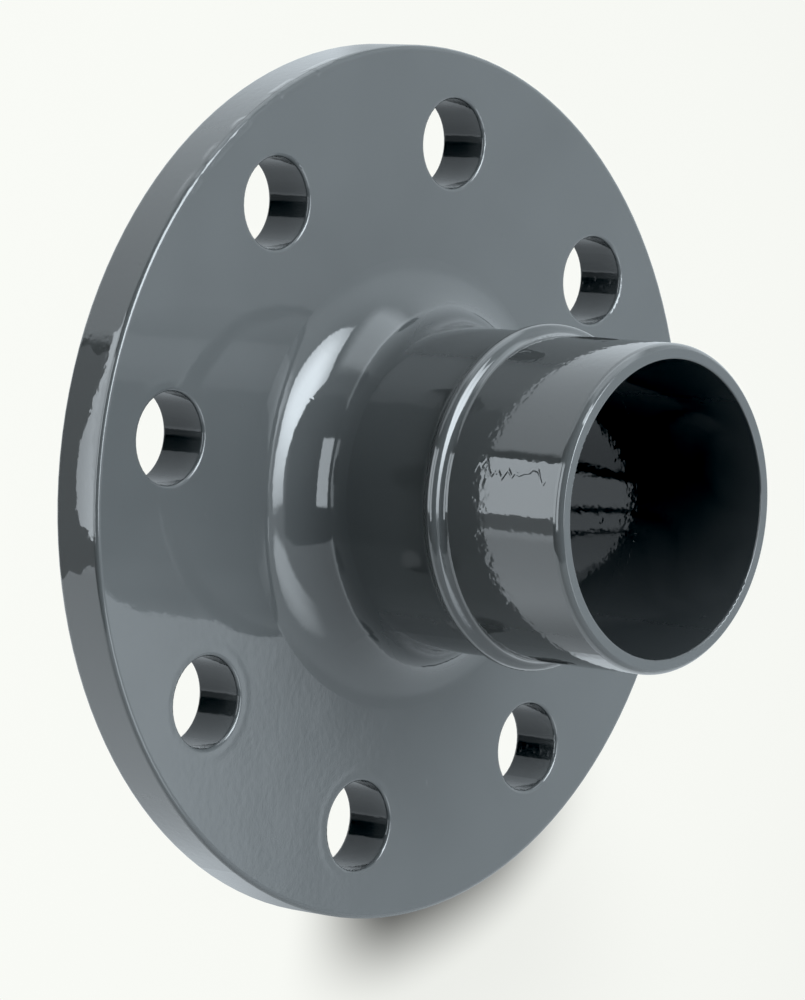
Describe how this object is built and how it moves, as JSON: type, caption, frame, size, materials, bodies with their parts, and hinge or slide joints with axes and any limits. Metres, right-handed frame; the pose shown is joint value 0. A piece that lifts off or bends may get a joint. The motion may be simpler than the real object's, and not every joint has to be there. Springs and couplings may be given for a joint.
{
  "type": "pipe flange",
  "caption": "Coated weld neck pipe flange with bolt holes, joined by a girth weld to a short bevelled pipe stub.",
  "frame": {"origin": "centre of the mating face, on the pipe's axis", "axes": "+Z along the pipe's axis, from the mating face towards the pipe's open end; the bolt holes straddle X and Y"},
  "size_m": [0.165, 0.165, 0.0757],
  "materials": {
    "coated_steel": "gloss"
  },
  "bodies": {
    "root": {"weld_neck_flange": "coated_steel", "girth_weld": "coated_steel", "pipe_stub": "coated_steel"}
  },
  "joints": []
}
